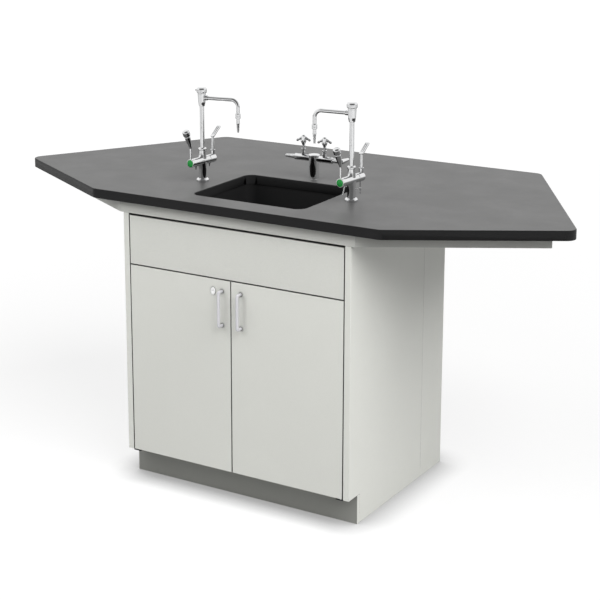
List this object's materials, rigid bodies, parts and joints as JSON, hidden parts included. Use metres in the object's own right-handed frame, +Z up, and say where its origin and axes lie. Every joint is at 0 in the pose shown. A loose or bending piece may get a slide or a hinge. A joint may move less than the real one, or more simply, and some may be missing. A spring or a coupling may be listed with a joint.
{
  "type": "laboratory sink unit",
  "caption": "Island laboratory sink unit: six-sided black worktop on a grey cabinet with doors, undermount basin, swing-spout faucets and a gas turret.",
  "frame": {"origin": "on the floor, under the middle of the unit's overall width and depth", "axes": "+X to the right along the front, +Y to the back, +Z up; the doors face -Y"},
  "size_m": [1.832, 0.876, 1.174],
  "materials": {
    "epoxy_top": "black epoxy resin, satin, slightly glossy",
    "epoxy_basin": "black epoxy resin, satin",
    "black_plastic": "black polypropylene",
    "laminate": "light grey laminate on board",
    "toe_laminate": "mid grey laminate on board",
    "zinc_steel": "zinc plated",
    "white_plastic": "moulded",
    "satin_metal": "satin anodised",
    "lock_metal": "polished",
    "brass_nut": "plain",
    "chrome": "polished chrome plate",
    "green_disc": "gloss green"
  },
  "bodies": {
    "cabinet": {"worktop": "epoxy_top", "sink_basin": "epoxy_basin", "sink_outlet": "black_plastic", "sink_tailpiece": "black_plastic", "sink_supports": "zinc_steel", "apron_front": "laminate", "apron_front_left": "laminate", "apron_front_right": "laminate", "apron_side_left": "laminate", "apron_side_right": "laminate", "apron_back": "laminate", "left_side_panel": "laminate", "right_side_panel": "laminate", "cabinet_floor": "laminate", "toe_board": "toe_laminate", "inner_back_panel": "laminate", "left_chase_panel": "laminate", "right_chase_panel": "laminate", "chase_back_panel": "laminate", "false_front": "laminate", "front_top_rail": "laminate", "cross_rail": "zinc_steel", "rear_rail": "laminate", "door_pivots": "zinc_steel", "door_catches": "white_plastic", "lock_nuts": "brass_nut", "left_faucet_body": "chrome", "right_faucet_body": "chrome", "faucet_flanges": "chrome", "blade_bonnets": "chrome", "gas_turret_body": "chrome", "gas_bonnets": "chrome", "hose_ends": "chrome"},
    "left_door": {"left_door_panel": "laminate", "left_pull": "satin_metal", "left_hinge_pins": "zinc_steel", "lock_housing": "lock_metal"},
    "right_door": {"right_door_panel": "laminate", "right_pull": "satin_metal", "right_hinge_pins": "zinc_steel"},
    "door_lock": {"lock_plug": "lock_metal", "lock_cam": "zinc_steel"},
    "left_spout": {"left_riser": "chrome", "left_breaker_body": "chrome", "left_breaker_cap": "chrome", "left_spout_tube": "chrome", "left_nozzle": "chrome"},
    "left_ball_lever": {"left_front_lever": "chrome", "left_index_disc": "green_disc"},
    "left_blade": {"left_blade_lever": "chrome"},
    "left_gas_valve": {"left_gas_handle": "chrome"},
    "right_spout": {"right_riser": "chrome", "right_breaker_body": "chrome", "right_breaker_cap": "chrome", "right_spout_tube": "chrome", "right_nozzle": "chrome"},
    "right_ball_lever": {"right_front_lever": "chrome", "right_index_disc": "green_disc"},
    "right_blade": {"right_blade_lever": "chrome"},
    "right_gas_valve": {"right_gas_handle": "chrome"}
  },
  "joints": [
    {"name": "left_door_hinge", "type": "hinge", "parent": "cabinet", "child": "left_door", "pos_m": [-0.354, -0.409, 0.379], "axis": [0, 0, -1], "range_deg": [0, 110]},
    {"name": "right_door_hinge", "type": "hinge", "parent": "cabinet", "child": "right_door", "pos_m": [0.354, -0.409, 0.379], "axis": [0, 0, 1], "range_deg": [0, 110]},
    {"name": "lock_turn", "type": "hinge", "parent": "left_door", "child": "door_lock", "pos_m": [-0.067, -0.403, 0.633], "axis": [0, 1, 0], "range_deg": [0, 90]},
    {"name": "left_spout_swivel", "type": "hinge", "parent": "cabinet", "child": "left_spout", "pos_m": [-0.254, -0.184, 1], "axis": [0, 0, 1], "continuous": true},
    {"name": "left_ball_lever_turn", "type": "hinge", "parent": "cabinet", "child": "left_ball_lever", "pos_m": [-0.25927, -0.23875, 0.952], "axis": [-0.0958, -0.9954, 0], "range_deg": [0, 90]},
    {"name": "left_blade_turn", "type": "hinge", "parent": "cabinet", "child": "left_blade", "pos_m": [-0.2493, -0.13523, 0.99], "axis": [0, 0, 1], "range_deg": [0, 90]},
    {"name": "left_gas_turn", "type": "hinge", "parent": "cabinet", "child": "left_gas_valve", "pos_m": [-0.022, 0.018, 1], "axis": [0, 0, 1], "range_deg": [0, 360]},
    {"name": "right_spout_swivel", "type": "hinge", "parent": "cabinet", "child": "right_spout", "pos_m": [0.254, -0.184, 1], "axis": [0, 0, 1], "continuous": true},
    {"name": "right_ball_lever_turn", "type": "hinge", "parent": "cabinet", "child": "right_ball_lever", "pos_m": [0.24873, -0.23875, 0.952], "axis": [0.0958, 0.9954, 0], "range_deg": [0, 90]},
    {"name": "right_blade_turn", "type": "hinge", "parent": "cabinet", "child": "right_blade", "pos_m": [0.2587, -0.13523, 0.99], "axis": [0, 0, -1], "range_deg": [0, 90]},
    {"name": "right_gas_turn", "type": "hinge", "parent": "cabinet", "child": "right_gas_valve", "pos_m": [0.051, 0.018, 1], "axis": [0, 0, 1], "range_deg": [0, 360]}
  ]
}
